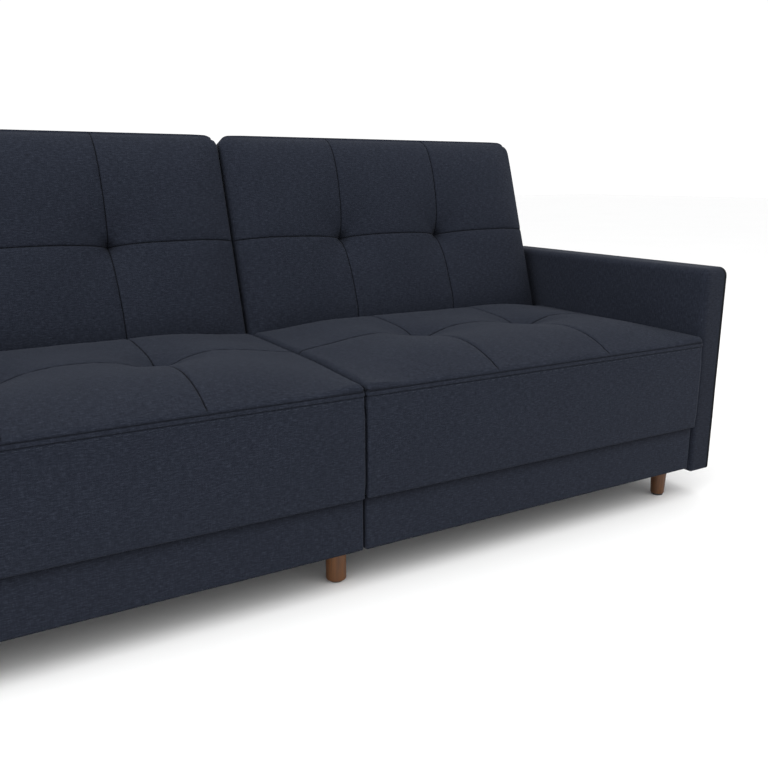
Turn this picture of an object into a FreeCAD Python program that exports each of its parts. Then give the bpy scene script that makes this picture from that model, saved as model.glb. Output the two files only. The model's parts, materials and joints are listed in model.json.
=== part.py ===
import FreeCAD, Part
from FreeCAD import Vector as V
import math
import os

# Split-back futon sofa bed: two seat modules bolted side by side on turned wooden legs,
# a slim panel arm at each outer end, and two backs that each recline on a pair of
# click-clack ratchet hinges until they lie level with the seat.
# Units are millimetres. +Z is up, -Y is the front, +X is the sitter's left-hand arm.
# The origin is on the floor, under the middle of the upright sofa.
# Most lengths across the depth are written as y = distance behind the seat's front face.

# ---------------------------------------------------------------- driving dimensions
HALF_W = 895.0          # centre gap to the arm's inner face: half of the sleeping width
GAP = 2.0               # half of the gap between the two modules
Y_MID = 421.28          # half of the overall depth, from the seat's front face

LEG_H = 81.5            # underside of the base above the floor
BASE_TOP = 190.0        # top of the base plinth
BASE_FRONT = 8.0        # plinth set back from the seat's front face
BASE_REAR = 720.0
BASE_X1 = 890.0         # outer face of the plinth
SKIN = 3.0              # upholstered skin on the plinth
RAIL_T = 22.0           # plinth rails
DECK_T = 12.0

SEAT_X1 = 895.0         # outer end of a seat cushion
SEAT_REAR = 568.0
SEAT_Z0 = 190.5
SEAT_Z1 = 420.0         # top of the seat
SEAT_R_TOP = 24.0
SEAT_R_SIDE = 8.0

ARM_X0 = 900.5          # inner face of the arm
ARM_T = 70.5
ARM_Y0, ARM_Y1 = 12.0, 760.0
ARM_Z0, ARM_Z1 = 67.0, 561.0
ARM_R_TOP, ARM_R_BOT, ARM_R_EDGE = 21.0, 6.0, 5.0
ARM_PAD = 16.0

LEAN = 18.0             # upright back, degrees from vertical
FLAT_TURN = 90.0 - LEAN  # turn from upright to flat
PIV_Y, PIV_Z = 615.7, 367.0   # recline axis
FACE = 45.0             # recline axis to the back's front face
BACK_T = 120.0
BACK_S0, BACK_S1 = -10.0, 510.0   # length of a back, measured from the recline axis
BACK_X1 = 878.0
BACK_R_TOP, BACK_R_BOT, BACK_R_FACE = 28.0, 14.0, 22.0

HINGE_T = 5.0           # hinge steel
HINGE_GAP = 0.3
HEAD_R = 26.0           # ratchet head
PIN_R = 6.0
PAWL_PIN_R = 3.0
PAWL_S, PAWL_TT = 40.0, 58.0      # pawl pin, along and through the back
RELEASE = 10.0          # forward overtravel that frees the ratchet

LEG_Y_FRONT, LEG_Y_REAR = 72.0, 655.0
LEG_X_END = 866.0
LEG_X_CENTRE = -30.0    # the centre legs stand under the left module only
LEG_TOP_R, LEG_BOT_R = 19.8, 15.8
CENTRE_LEG_R = 19.8
PLATE_T = 2.2
GLIDE_H = 4.0

COIL_R, COIL_PITCH = 33.0, 70.0

os.makedirs("parts", exist_ok=True)
made = {}


# ---------------------------------------------------------------- helpers
def Y(y):
    return y - Y_MID


def box(x0, x1, y0, y1, z0, z1):
    return Part.makeBox(x1 - x0, y1 - y0, z1 - z0, V(x0, Y(y0), z0))


def cyl_x(r, x0, x1, y, z):
    return Part.makeCylinder(r, x1 - x0, V(x0, Y(y), z), V(1, 0, 0))


def cyl_z(r, z0, z1, x, y):
    return Part.makeCylinder(r, z1 - z0, V(x, Y(y), z0), V(0, 0, 1))


def cone_z(r0, r1, z0, z1, x, y):
    return Part.makeCone(r0, r1, z1 - z0, V(x, Y(y), z0), V(0, 0, 1))


def hex_x(flats, x0, x1, y, z):
    r = flats / math.sqrt(3)
    pts = [V(x0, Y(y) + r * math.cos(math.radians(60 * i)), z + r * math.sin(math.radians(60 * i))) for i in range(7)]
    return Part.Face(Part.makePolygon(pts)).extrude(V(x1 - x0, 0, 0))


def fillet(shape, radius, pick):
    edges = [e for e in shape.Edges if pick(e)]
    return shape.makeFillet(radius, edges)


def along(e, axis, tol=1e-6):
    if not isinstance(e.Curve, Part.Line):
        return False
    d = e.Vertexes[1].Point.sub(e.Vertexes[0].Point)
    if d.Length < tol:
        return False
    return abs(abs(d.dot(axis)) / d.Length - 1) < 1e-6


def other_side(shape):
    return shape.mirror(V(0, 0, 0), V(1, 0, 0))


def group(shapes):
    flat = []
    for s in shapes:
        flat.extend(s.Solids)
    return flat[0] if len(flat) == 1 else Part.makeCompound(flat)


def save(name, shape):
    bad = [s for s in shape.Solids if not s.isValid() or s.Volume <= 0]
    if not shape.Solids or bad:
        raise RuntimeError("invalid solid in " + name)
    made[name] = shape
    shape.exportStep("parts/" + name + ".step")


def both(name, shape):
    save("right_" + name, shape)
    save("left_" + name, other_side(shape))


# ---------------------------------------------------------------- plinth under each module
arm_bolt_places = [(120.0, 138.0), (380.0, 138.0), (610.0, 138.0)]
join_bolt_places = [(150.0, 138.0), (380.0, 138.0), (560.0, 138.0)]

skin_out = box(GAP, BASE_X1, BASE_FRONT, BASE_REAR, LEG_H, BASE_TOP)
skin_out = fillet(skin_out, 5.0, lambda e: along(e, V(0, 0, 1)))
skin_in = box(GAP + SKIN, BASE_X1 - SKIN, BASE_FRONT + SKIN, BASE_REAR - SKIN, LEG_H - 1, BASE_TOP + 1)
skin = skin_out.cut(skin_in)
for y, z in arm_bolt_places:
    skin = skin.cut(cyl_x(5.0, BASE_X1 - 10, BASE_X1 + 5, y, z))
for y, z in join_bolt_places:
    skin = skin.cut(cyl_x(5.0, GAP - 5, GAP + 10, y, z))
both("base_cover", skin)

rx0, rx1 = GAP + SKIN + 0.2, BASE_X1 - SKIN - 0.2
ry0, ry1 = BASE_FRONT + SKIN + 0.2, BASE_REAR - SKIN - 0.2
rz0, rz1 = LEG_H + 3.0, BASE_TOP - 2.0
both("front_rail", box(rx0, rx1, ry0, ry0 + RAIL_T, rz0, rz1))
both("rear_rail", box(rx0, rx1, ry1 - RAIL_T, ry1, rz0, rz1))

inner_rail = box(rx0, rx0 + RAIL_T, ry0 + RAIL_T, ry1 - RAIL_T, rz0, rz1)
for y, z in join_bolt_places:
    inner_rail = inner_rail.cut(cyl_x(4.3, rx0 - 1, rx0 + RAIL_T + 1, y, z))
outer_rail = box(rx1 - RAIL_T, rx1, ry0 + RAIL_T, ry1 - RAIL_T, rz0, rz1)
for y, z in arm_bolt_places:
    outer_rail = outer_rail.cut(cyl_x(4.3, rx1 - RAIL_T - 1, rx1 + 1, y, z))
bearer = box(437, 459, ry0 + RAIL_T, ry1 - RAIL_T, rz0, rz1 - DECK_T)
both("side_rails", group([inner_rail, outer_rail, bearer]))

deck = box(rx0 + RAIL_T, rx1 - RAIL_T, ry0 + RAIL_T, ry1 - RAIL_T, rz1 - DECK_T, rz1)
both("seat_deck", deck)

# legs: four tapered ones at the ends, two plain posts at the centre under the left module
legs = {
    "right_front_leg": (LEG_X_END, LEG_Y_FRONT, True),
    "right_rear_leg": (LEG_X_END, LEG_Y_REAR, True),
    "left_front_leg": (-LEG_X_END, LEG_Y_FRONT, True),
    "left_rear_leg": (-LEG_X_END, LEG_Y_REAR, True),
    "centre_front_leg": (LEG_X_CENTRE, LEG_Y_FRONT, False),
    "centre_rear_leg": (LEG_X_CENTRE, LEG_Y_REAR, False),
}
BOLT_R = 4.0
leg_z1 = LEG_H - PLATE_T - 0.2
plates, hangers, glides = [], [], []
for name, (x, y, tapered) in legs.items():
    if tapered:
        leg = cone_z(LEG_BOT_R, LEG_TOP_R, GLIDE_H, leg_z1, x, y)
    else:
        leg = cyl_z(CENTRE_LEG_R, GLIDE_H, leg_z1, x, y)
    leg = fillet(leg, 2.5, lambda e: isinstance(e.Curve, Part.Circle))
    leg = leg.cut(cyl_z(BOLT_R + 0.06, 40, leg_z1 + 1, x, y)).cut(cyl_z(2.06, 0, 20, x, y))
    save(name, leg)
    px = x - 7 if x > 0 else (x + 7 if tapered else x - 6)
    plate = box(px - 33, px + 33, y - 33, y + 33, LEG_H - PLATE_T - 0.1, LEG_H - 0.1)
    plate = fillet(plate, 8.0, lambda e: along(e, V(0, 0, 1)))
    plate = plate.cut(cyl_z(BOLT_R + 0.1, 70, 90, x, y))
    plates.append(plate)
    hangers.append(cyl_z(BOLT_R, 42, 128, x, y))
    glide = cyl_z(14.0, 0, GLIDE_H - 0.05, x, y)
    glide = fillet(glide, 1.2, lambda e: isinstance(e.Curve, Part.Circle) and abs(e.Vertexes[0].Z) < 0.01)
    glides.append(glide.fuse(cyl_z(2.0, 1, 19, x, y)))
save("leg_plates", group(plates))
save("leg_hanger_bolts", group(hangers))
save("leg_glides", group(glides))

blocks = []
for sx in (1, -1):
    for cx in (rx0 + RAIL_T, rx1 - RAIL_T - 60):
        for cy in (ry0 + RAIL_T, ry1 - RAIL_T - 60):
            x0, x1 = (cx, cx + 60) if sx > 0 else (-cx - 60, -cx)
            blocks.append(box(x0, x1, cy, cy + 60, rz0, rz1 - DECK_T))
holes = [cyl_z(BOLT_R + 0.06, 80, 129, x, y) for x, y, _ in legs.values()]


def drilled(shape, tools):
    for t in tools:
        if shape.BoundBox.intersect(t.BoundBox):
            shape = shape.cut(t)
    return shape


save("corner_blocks", group([drilled(b, holes) for b in blocks]))

dust = box(GAP + SKIN + 0.3, BASE_X1 - SKIN - 0.3, BASE_FRONT + SKIN + 0.3, BASE_REAR - SKIN - 0.3, LEG_H + 1.0, LEG_H + 2.2)
wide_holes = [cyl_z(BOLT_R + 1.5, 80, 95, x, y) for x, y, _ in legs.values()]
save("right_dust_cover", drilled(dust, wide_holes))
save("left_dust_cover", drilled(other_side(dust), wide_holes))

# the hanger bolts at the ends stand in the side rails as well as the corner blocks
for side in ("right", "left"):
    solids = [drilled(s, holes) for s in made[side + "_side_rails"].Solids]
    save(side + "_side_rails", group(solids))

# ---------------------------------------------------------------- seat cushions with pocket coils
seat = box(GAP, SEAT_X1, 0, SEAT_REAR, SEAT_Z0, SEAT_Z1)
seat = fillet(seat, SEAT_R_SIDE, lambda e: along(e, V(0, 0, 1)))
seat = fillet(seat, 12.0, lambda e: e.BoundBox.ZMax > SEAT_Z1 - 0.01 and e.BoundBox.ZMin > SEAT_Z1 - 0.01)
hollow = box(GAP + 45, SEAT_X1 - 45, 45, SEAT_REAR - 43, 215, 352)
both("seat_cushion", seat.cut(hollow))
coils = []
nx, ny = 11, 6
cx0 = (GAP + SEAT_X1) / 2 - COIL_PITCH * (nx - 1) / 2
cy0 = (45 + SEAT_REAR - 43) / 2 - COIL_PITCH * (ny - 1) / 2
for i in range(nx):
    for j in range(ny):
        coils.append(cyl_z(COIL_R, 216, 350, cx0 + COIL_PITCH * i, cy0 + COIL_PITCH * j))
both("seat_pocket_coils", group(coils))


# ---------------------------------------------------------------- arms
def arm_profile(x, inset):
    y0, y1, z0, z1 = Y(ARM_Y0) + inset, Y(ARM_Y1) - inset, ARM_Z0 + inset, ARM_Z1 - inset
    rt, rb = max(ARM_R_TOP - inset, 3), max(ARM_R_BOT - inset, 2)
    k = math.sqrt(0.5)

    def P(a, b):
        return V(x, a, b)

    def arc(a, m, b):
        return Part.Arc(a, m, b).toShape()

    e = [
        Part.makeLine(P(y0, z0 + rb), P(y0, z1 - rt)),
        arc(P(y0, z1 - rt), P(y0 + rt - rt * k, z1 - rt + rt * k), P(y0 + rt, z1)),
        Part.makeLine(P(y0 + rt, z1), P(y1 - rt, z1)),
        arc(P(y1 - rt, z1), P(y1 - rt + rt * k, z1 - rt + rt * k), P(y1, z1 - rt)),
        Part.makeLine(P(y1, z1 - rt), P(y1, z0 + rb)),
        arc(P(y1, z0 + rb), P(y1 - rb + rb * k, z0 + rb - rb * k), P(y1 - rb, z0)),
        Part.makeLine(P(y1 - rb, z0), P(y0 + rb, z0)),
        arc(P(y0 + rb, z0), P(y0 + rb - rb * k, z0 + rb - rb * k), P(y0, z0 + rb)),
    ]
    return Part.Wire(e)


arm = Part.Face(arm_profile(ARM_X0, 0)).extrude(V(ARM_T, 0, 0))
arm = arm.makeFillet(ARM_R_EDGE, [e for e in arm.Edges if e.BoundBox.XLength < 1e-6])
hollow = Part.Face(arm_profile(ARM_X0 + ARM_PAD, ARM_PAD)).extrude(V(ARM_T - 2 * ARM_PAD, 0, 0))
arm = arm.cut(hollow)
core = Part.Face(arm_profile(ARM_X0 + ARM_PAD + 0.3, ARM_PAD + 0.3)).extrude(V(ARM_T - 2 * ARM_PAD - 0.6, 0, 0))
arm_bolts = []
for y, z in arm_bolt_places:
    arm = arm.cut(cyl_x(6.0, ARM_X0 - 5, ARM_X0 + ARM_PAD + 1, y, z))
    core = core.cut(cyl_x(BOLT_R + 0.06, ARM_X0, ARM_X0 + ARM_PAD + 28, y, z))
    xh = rx1 - RAIL_T
    bolt = cyl_x(BOLT_R, xh - 7.2, ARM_X0 + ARM_PAD + 26, y, z)
    bolt = bolt.fuse(hex_x(13.0, xh - 7.2, xh - 1.9, y, z)).fuse(cyl_x(10.0, xh - 1.9, xh - 0.1, y, z))
    arm_bolts.append(bolt)
arm_spacers = [cyl_x(14.0, BASE_X1 + 0.1, ARM_X0 - 0.1, y, z).cut(cyl_x(4.4, BASE_X1 - 5, ARM_X0 + 5, y, z)) for y, z in arm_bolt_places]
both("arm_cover", arm)
both("arm_frame", core)
save("arm_bolts", group(arm_bolts + [other_side(b) for b in arm_bolts]))
save("arm_spacers", group(arm_spacers + [other_side(b) for b in arm_spacers]))

# the two modules are drawn together by three bolts, with a spacer round each
join_bolts, spacers = [], []
for y, z in join_bolt_places:
    xe = rx0 + RAIL_T
    b = cyl_x(BOLT_R, -xe - 12, xe + 7.2, y, z)
    b = b.fuse(hex_x(13.0, xe + 1.9, xe + 7.2, y, z)).fuse(cyl_x(10.0, xe + 0.1, xe + 1.9, y, z))
    b = b.fuse(hex_x(13.0, -xe - 8.4, -xe - 1.9, y, z)).fuse(cyl_x(10.0, -xe - 1.9, -xe - 0.1, y, z))
    join_bolts.append(b)
    spacers.append(cyl_x(15.0, -GAP + 0.05, GAP - 0.05, y, z).cut(cyl_x(4.4, -GAP - 1, GAP + 1, y, z)))
save("joining_bolts", group(join_bolts))
save("joining_spacers", group(spacers))

# ---------------------------------------------------------------- click-clack hinges, fixed half
INNER_X, OUTER_X = 44.0, 841.0      # faces of the back's side boards that the hinges lie on


def fixed_arm(x0):
    """Steel arm with the notched ratchet head, standing on a wooden post."""
    head = cyl_x(HEAD_R, x0, x0 + HINGE_T, PIV_Y, PIV_Z)
    neck = box(x0, x0 + HINGE_T, PIV_Y - 17, PIV_Y + 17, 200, PIV_Z)
    neck = fillet(neck, 8.0, lambda e: along(e, V(1, 0, 0)) and e.BoundBox.ZMax < 210)
    arm = head.fuse(neck).removeSplitter()
    for turn in (-RELEASE, 0.0, FLAT_TURN / 2, FLAT_TURN):
        a = 90.0 - LEAN - turn          # direction of the pawl above the +Y axis
        notch = Part.makeBox(HINGE_T + 2, 9.4, 14, V(x0 - 1, -3.2, HEAD_R - 3.6))
        notch.rotate(V(0, 0, 0), V(1, 0, 0), a - 90.0)
        notch.translate(V(0, Y(PIV_Y), PIV_Z))
        arm = arm.cut(notch)
    arm = arm.cut(cyl_x(PIN_R + 0.07, x0 - 1, x0 + HINGE_T + 1, PIV_Y, PIV_Z))
    for z in (222.0, 262.0):
        arm = arm.cut(cyl_x(4.2, x0 - 1, x0 + HINGE_T + 1, PIV_Y, z))
    return arm


# planes of the steel: the moving arm lies on the side board, the fixed arm beside it
mov_in = (INNER_X + 0.2, INNER_X + 0.2 + HINGE_T)
fix_in = (mov_in[1] + HINGE_GAP, mov_in[1] + HINGE_GAP + HINGE_T)
mov_out = (OUTER_X - 0.2 - HINGE_T, OUTER_X - 0.2)
fix_out = (mov_out[0] - HINGE_GAP - HINGE_T, mov_out[0] - HINGE_GAP)
both("hinge_fixed_arms", group([fixed_arm(fix_in[0]), fixed_arm(fix_out[0])]))

post_in = box(fix_in[1] + 0.2, fix_in[1] + 32.2, PIV_Y - 34, PIV_Y + 34, rz1 + 0.05, 284)
post_out = box(fix_out[0] - 32.2, fix_out[0] - 0.2, PIV_Y - 34, PIV_Y + 34, rz1 + 0.05, 284)
posts, fixed_bolts = [], []
for z in (222.0, 262.0):
    post_in = post_in.cut(cyl_x(4.1, fix_in[1] - 1, fix_in[1] + 40, PIV_Y, z))
    post_out = post_out.cut(cyl_x(4.1, fix_out[0] - 40, fix_out[0] + 1, PIV_Y, z))
    b = cyl_x(4.0, fix_in[0] - 3.6, fix_in[1] + 41, PIV_Y, z)
    b = b.fuse(cyl_x(9.0, fix_in[0] - 3.6, fix_in[0] - 0.1, PIV_Y, z)).fuse(hex_x(13.0, fix_in[1] + 32.4, fix_in[1] + 39, PIV_Y, z))
    fixed_bolts.append(b)
    b = cyl_x(4.0, fix_out[0] - 41, fix_out[1] + 3.6, PIV_Y, z)
    b = b.fuse(cyl_x(9.0, fix_out[1] + 0.1, fix_out[1] + 3.6, PIV_Y, z)).fuse(hex_x(13.0, fix_out[0] - 39, fix_out[0] - 32.4, PIV_Y, z))
    fixed_bolts.append(b)
posts = [post_in, post_out]
save("hinge_posts", group(posts + [other_side(p) for p in posts]))
save("hinge_post_bolts", group(fixed_bolts + [other_side(b) for b in fixed_bolts]))


# ---------------------------------------------------------------- backs
# A back is laid out flat, s along it from the recline axis and t through it from the
# front face, and then turned up about the recline axis.
def sbox(x0, x1, s0, s1, t0, t1):
    return Part.makeBox(x1 - x0, s1 - s0, t1 - t0, V(x0, Y(PIV_Y) + s0, PIV_Z + FACE - t1))


def scyl(r, x0, x1, s, t):
    return Part.makeCylinder(r, x1 - x0, V(x0, Y(PIV_Y) + s, PIV_Z + FACE - t), V(1, 0, 0))


def upright(shape):
    c = shape.copy()
    c.rotate(V(0, Y(PIV_Y), PIV_Z), V(1, 0, 0), FLAT_TURN)
    return c


pad = sbox(GAP, BACK_X1, BACK_S0, BACK_S1, 0, BACK_T)
pad = fillet(pad, BACK_R_TOP, lambda e: along(e, V(0, 0, 1)) and e.BoundBox.YMax > Y(PIV_Y) + BACK_S1 - 1)
pad = fillet(pad, BACK_R_BOT, lambda e: along(e, V(0, 0, 1)) and e.BoundBox.YMax < Y(PIV_Y) + BACK_S0 + 1)
top_z = PIV_Z + FACE
pad = fillet(pad, 13.0, lambda e: e.BoundBox.ZMin > top_z - 0.01)
pad = fillet(pad, 8.0, lambda e: e.BoundBox.ZMax < top_z - BACK_T + 0.01)
pad = pad.cut(sbox(24, 861, 32, 492, 30, 114))
pad = pad.cut(sbox(20, 863, 40, 496, 113.9, BACK_T + 1))
slot_in = (38.0, 64.0)
slot_out = (821.0, 847.0)
for x0, x1 in (slot_in, slot_out):
    pad = pad.cut(sbox(x0, x1, BACK_S0 - 1, 36, 15, BACK_T + 1))
both("back_cushion", upright(pad))

panel = sbox(20.5, 862.5, 40.5, 495.5, 114.3, 119.0)
both("back_rear_panel", upright(panel))

boards = [
    sbox(26, INNER_X, 36, 488, 32, 112),
    sbox(OUTER_X, 859, 36, 488, 32, 112),
    sbox(INNER_X, OUTER_X, 470, 488, 32, 112),
    sbox(INNER_X, OUTER_X, 66, 84, 60, 112),
    sbox(433.5, 451.5, 84, 470, 60, 112),
]
screw_s = (92.0, 130.0, 168.0)
for s in screw_s:
    boards[0] = boards[0].cut(scyl(3.1, 25, 45, s, FACE))
    boards[1] = boards[1].cut(scyl(3.1, 840, 860, s, FACE))
both("back_frame", upright(group(boards)))

straps = [sbox(26, 859, s - 25, s + 25, 30.4, 31.8) for s in (80, 165, 250, 335, 420)]
both("back_webbing", upright(group(straps)))


def moving_arm(x0):
    a = scyl(20.0, x0, x0 + HINGE_T, 0, FACE).fuse(sbox(x0, x0 + HINGE_T, 0, 192, FACE - 12, FACE + 12))
    a = a.fuse(scyl(9.0, x0, x0 + HINGE_T, PAWL_S, PAWL_TT)).removeSplitter()
    a = a.cut(scyl(PIN_R + 0.05, x0 - 1, x0 + HINGE_T + 1, 0, FACE))
    a = a.cut(scyl(PAWL_PIN_R + 0.05, x0 - 1, x0 + HINGE_T + 1, PAWL_S, PAWL_TT))
    for s in screw_s:
        a = a.cut(scyl(3.1, x0 - 1, x0 + HINGE_T + 1, s, FACE))
    return a


both("hinge_moving_arms", upright(group([moving_arm(mov_in[0]), moving_arm(mov_out[0])])))

# pivot rivets and pawl pins ride with the moving arms
rivets = []
for mov, fix in ((mov_in, fix_in), (mov_out, fix_out)):
    lo, hi = min(mov[0], fix[0]), max(mov[1], fix[1])
    r = scyl(PIN_R, lo - 2.6, hi + 2.6, 0, FACE)
    r = r.fuse(scyl(10.0, lo - 2.6, lo - 0.1, 0, FACE)).fuse(scyl(10.0, hi + 0.1, hi + 2.6, 0, FACE))
    rivets.append(r)
    inward = mov[0] < fix[0]
    x0, x1 = (mov[0] + 0.1, fix[1] + 6.2) if inward else (fix[0] - 6.2, mov[1] - 0.1)
    p = scyl(PAWL_PIN_R, x0, x1, PAWL_S, PAWL_TT)
    cap = scyl(6.2, x1 - 1.4, x1, PAWL_S, PAWL_TT) if inward else scyl(6.2, x0, x0 + 1.4, PAWL_S, PAWL_TT)
    rivets.append(p.fuse(cap))
both("hinge_rivets", upright(group(rivets)))

bolts = []
for mov, board in ((mov_in, INNER_X), (mov_out, OUTER_X)):
    for s in screw_s:
        if mov is mov_in:
            b = scyl(3.0, board - 14, mov[1] + 3.0, s, FACE).fuse(scyl(6.0, mov[1] + 0.1, mov[1] + 3.0, s, FACE))
        else:
            b = scyl(3.0, mov[0] - 3.0, board + 14, s, FACE).fuse(scyl(6.0, mov[0] - 3.0, mov[0] - 0.1, s, FACE))
        bolts.append(b)
both("hinge_screws", upright(group(bolts)))


def pawl(x0):
    pts = [(26.3, 42.5), (26.3, 47.5), (31.5, 56.5), (35.0, 64.0), (44.5, 64.5), (48.0, 57.0), (37.0, 46.5), (33.0, 42.5)]
    v = [V(x0, Y(PIV_Y) + s, PIV_Z + FACE - t) for s, t in pts]
    body = Part.Face(Part.makePolygon(v + [v[0]])).extrude(V(HINGE_T, 0, 0))
    body = body.fuse(scyl(7.0, x0, x0 + HINGE_T, PAWL_S, PAWL_TT)).removeSplitter()
    return body.cut(scyl(PAWL_PIN_R + 0.08, x0 - 1, x0 + HINGE_T + 1, PAWL_S, PAWL_TT))


both("inner_pawl", upright(pawl(fix_in[0])))
both("outer_pawl", upright(pawl(fix_out[0])))


# torsion springs on the pawl pins
def pawl_spring(x0, x1):
    wire_r, mean_r, turns = 0.45, 4.3, 3.5
    pitch = (x1 - x0 - 2 * wire_r) / turns
    helix = Part.makeHelix(pitch, pitch * turns, mean_r)
    rim = [V(mean_r + wire_r * math.cos(math.pi * i / 5), 0, wire_r * math.sin(math.pi * i / 5)) for i in range(11)]
    section = Part.Wire(Part.makePolygon(rim).Edges)
    coil = Part.Wire(helix.Edges).makePipeShell([section], True, True)
    coil.rotate(V(0, 0, 0), V(0, 1, 0), 90)
    coil.translate(V(x0 + wire_r, Y(PIV_Y) + PAWL_S, PIV_Z + FACE - PAWL_TT))
    return coil


both("pawl_springs", upright(group([pawl_spring(fix_in[1] + 0.2, fix_in[1] + 4.5), pawl_spring(fix_out[0] - 4.5, fix_out[0] - 0.2)])))

# ---------------------------------------------------------------- report
box_all = None
for name, shape in made.items():
    b = shape.optimalBoundingBox(False)
    if box_all is None:
        box_all = FreeCAD.BoundBox(b)
    else:
        box_all.add(b)
print("nodes", len(made), "solids", sum(len(s.Solids) for s in made.values()))
print("box X %.3f %.3f  Y %.3f %.3f  Z %.3f %.3f" % (box_all.XMin, box_all.XMax, box_all.YMin, box_all.YMax, box_all.ZMin, box_all.ZMax))
pin = upright(scyl(PAWL_PIN_R, 0, 1, PAWL_S, PAWL_TT)).CenterOfMass
print("recline axis", Y(PIV_Y), PIV_Z, "pawl axis", pin.y, pin.z)
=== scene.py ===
import json
import math
import bmesh
import bpy
import numpy as np
from mathutils import Matrix, Vector


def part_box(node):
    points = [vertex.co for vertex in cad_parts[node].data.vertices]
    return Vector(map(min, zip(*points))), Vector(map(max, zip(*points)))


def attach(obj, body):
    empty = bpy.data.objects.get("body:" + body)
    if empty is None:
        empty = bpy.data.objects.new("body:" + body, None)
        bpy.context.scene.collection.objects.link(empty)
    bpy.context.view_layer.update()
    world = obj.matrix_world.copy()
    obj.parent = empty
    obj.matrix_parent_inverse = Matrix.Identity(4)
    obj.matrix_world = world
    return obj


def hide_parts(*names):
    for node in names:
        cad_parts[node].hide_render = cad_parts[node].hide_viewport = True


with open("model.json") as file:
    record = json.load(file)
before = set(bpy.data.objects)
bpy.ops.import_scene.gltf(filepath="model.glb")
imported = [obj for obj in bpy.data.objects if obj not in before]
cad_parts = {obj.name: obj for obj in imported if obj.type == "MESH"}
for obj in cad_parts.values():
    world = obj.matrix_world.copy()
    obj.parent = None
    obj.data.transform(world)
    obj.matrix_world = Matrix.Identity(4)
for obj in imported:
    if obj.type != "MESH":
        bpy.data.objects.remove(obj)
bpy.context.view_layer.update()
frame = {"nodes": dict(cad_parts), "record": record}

scene = bpy.context.scene
MM = 0.001
SIDES = (("right", 1.0), ("left", -1.0))


# ------------------------------------------------------------------ camera, floor and lights
def aim(obj, target):
    obj.rotation_mode = "QUATERNION"
    obj.rotation_quaternion = (Vector(target) - obj.location).to_track_quat("-Z", "Y")


cam_data = bpy.data.cameras.new("camera")
cam_data.sensor_width = 36.0
cam_data.lens = 38.33
cam_data.clip_start = 0.05
cam = bpy.data.objects.new("camera", cam_data)
scene.collection.objects.link(cam)
cam.location = (-0.6843, -1.65818, 0.7617)
cam.rotation_euler = (math.radians(90 - 14.11), 0, math.radians(-30.23))
scene.camera = cam


def area_light(name, loc, target, size, power, colour=(1, 1, 1)):
    d = bpy.data.lights.new(name, "AREA")
    d.shape = "RECTANGLE"
    d.size, d.size_y = size
    d.energy = power
    d.color = colour
    o = bpy.data.objects.new(name, d)
    scene.collection.objects.link(o)
    o.location = loc
    aim(o, target)
    return o


area_light("key", (2.6, -2.7, 3.1), (0.1, 0.0, 0.35), (2.4, 2.4), 36.5, (1.0, 0.985, 0.96))
area_light("fill", (-3.7, -1.3, 2.4), (0.3, 0.0, 0.4), (2.8, 2.2), 77, (0.97, 0.985, 0.99))
area_light("top", (0.0, -1.2, 3.4), (0.0, 0.0, 0.3), (3.6, 2.6), 25.5)
area_light("side", (-3.6, -0.2, 1.7), (0.9, -0.1, 0.45), (1.8, 1.4), 24)
area_light("back", (0.4, 3.2, 2.0), (0.0, 0.0, 0.4), (3.0, 1.8), 16)

world = bpy.data.worlds.new("studio")
scene.world = world
world.use_nodes = True
world.node_tree.nodes["Background"].inputs["Color"].default_value = (1, 1, 1, 1)
world.node_tree.nodes["Background"].inputs["Strength"].default_value = 1.05
scene.view_settings.view_transform = "Standard"
scene.view_settings.look = "None"


# ------------------------------------------------------------------ materials
def material(name):
    m = bpy.data.materials.new(name)
    m.use_nodes = True
    nt = m.node_tree
    bsdf = nt.nodes["Principled BSDF"]
    return m, nt, bsdf


def node(nt, kind, **props):
    n = nt.nodes.new(kind)
    for k, v in props.items():
        setattr(n, k, v)
    return n


def ramp(nt, fac, stops):
    r = node(nt, "ShaderNodeValToRGB")
    e = r.color_ramp.elements
    while len(e) < len(stops):
        e.new(0.5)
    for el, (pos, col) in zip(e, stops):
        el.position = pos
        el.color = (*col, 1)
    nt.links.new(fac, r.inputs["Fac"])
    return r


def mapping(nt, vec, scale=(1, 1, 1), rot=(0, 0, 0)):
    m = node(nt, "ShaderNodeMapping")
    m.inputs["Scale"].default_value = scale
    m.inputs["Rotation"].default_value = rot
    nt.links.new(vec, m.inputs["Vector"])
    return m.outputs["Vector"]


def noise(nt, vec, scale, detail=2.0, rough=0.5, dist=0.0):
    n = node(nt, "ShaderNodeTexNoise")
    n.inputs["Scale"].default_value = scale
    n.inputs["Detail"].default_value = detail
    n.inputs["Roughness"].default_value = rough
    n.inputs["Distortion"].default_value = dist
    nt.links.new(vec, n.inputs["Vector"])
    return n.outputs["Fac"]


def math_node(nt, op, a, b=None, c=None):
    n = node(nt, "ShaderNodeMath", operation=op)
    for i, v in enumerate((a, b, c)):
        if v is None:
            continue
        if isinstance(v, (int, float)):
            n.inputs[i].default_value = v
        else:
            nt.links.new(v, n.inputs[i])
    return n.outputs[0]


def mix_val(nt, fac, a, b):
    n = node(nt, "ShaderNodeMix", data_type="FLOAT")
    for key, v in (("Factor", fac), ("A", a), ("B", b)):
        s = [i for i in n.inputs if i.name == key and i.type == "VALUE"][0]
        if isinstance(v, (int, float)):
            s.default_value = v
        else:
            nt.links.new(v, s)
    return [o for o in n.outputs if o.type == "VALUE"][0]


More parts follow.
